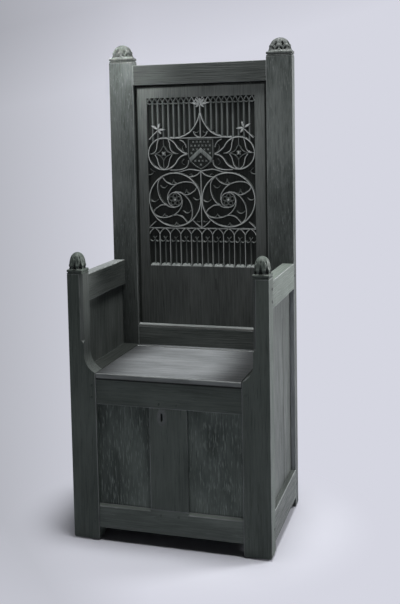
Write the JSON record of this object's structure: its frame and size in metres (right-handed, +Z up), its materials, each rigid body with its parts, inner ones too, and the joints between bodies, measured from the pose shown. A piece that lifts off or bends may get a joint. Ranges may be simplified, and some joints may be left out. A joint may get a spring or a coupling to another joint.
{
  "type": "box armchair",
  "caption": "High-backed oak box armchair: panelled chest seat with a hinged, lockable lid, closed arms and a tall back panel carved with tracery.",
  "frame": {"origin": "on the floor under the middle of the chair's bounding box", "axes": "+Z up, +Y from the front of the chair to its back, +X to the right of someone facing the chair"},
  "size_m": [0.643, 0.458, 1.588],
  "materials": {
    "dark_oak": "aged, waxed, satin",
    "worn_oak": "worn smooth, low sheen",
    "raw_oak": "unfinished, dry",
    "peg_oak": "end grain, matte",
    "forged_iron": "forged, dark"
  },
  "bodies": {
    "frame": {"back_top_rail": "dark_oak", "back_middle_rail": "dark_oak", "back_bottom_rail": "dark_oak", "carved_back_panel": "dark_oak", "chest_back_panel": "dark_oak", "front_top_rail": "dark_oak", "front_bottom_rail": "dark_oak", "front_muntin": "dark_oak", "keyhole_escutcheon": "forged_iron", "seat_back_board": "dark_oak", "lock_plate": "forged_iron", "lock_case": "forged_iron", "lock_nails": "forged_iron", "front_frame_pegs": "peg_oak", "back_frame_pegs": "peg_oak", "front_post_left": "dark_oak", "front_post_right": "dark_oak", "back_post_left": "dark_oak", "back_post_right": "dark_oak", "front_finial_left": "dark_oak", "front_finial_right": "dark_oak", "back_finial_left": "dark_oak", "back_finial_right": "dark_oak", "arm_rail_left": "dark_oak", "arm_rail_right": "dark_oak", "side_panel_left": "dark_oak", "side_panel_right": "dark_oak", "side_bottom_rail_left": "dark_oak", "side_bottom_rail_right": "dark_oak", "seat_bearer_left": "raw_oak", "seat_bearer_right": "raw_oak", "seat_side_board_left": "dark_oak", "seat_side_board_right": "dark_oak", "front_panel_left": "dark_oak", "front_panel_right": "dark_oak", "hinge_pin_left": "forged_iron", "hinge_pin_right": "forged_iron", "side_pegs_left": "peg_oak", "side_pegs_right": "peg_oak", "floor_board_1": "raw_oak", "floor_board_2": "raw_oak", "floor_board_3": "raw_oak", "floor_board_4": "raw_oak"},
    "seat_lid": {"seat_lid": "worn_oak", "lid_staple": "forged_iron"},
    "lock_bolt": {"lock_bolt": "forged_iron"}
  },
  "joints": [
    {"name": "lid_hinge", "type": "hinge", "parent": "frame", "child": "seat_lid", "pos_m": [0, 0.152, 0.5335], "axis": [-1, 0, 0], "range_deg": [0, 95]},
    {"name": "bolt_slide", "type": "slide", "parent": "frame", "child": "lock_bolt", "axis": [1, 0, 0], "range_m": [0, 0.016]}
  ]
}
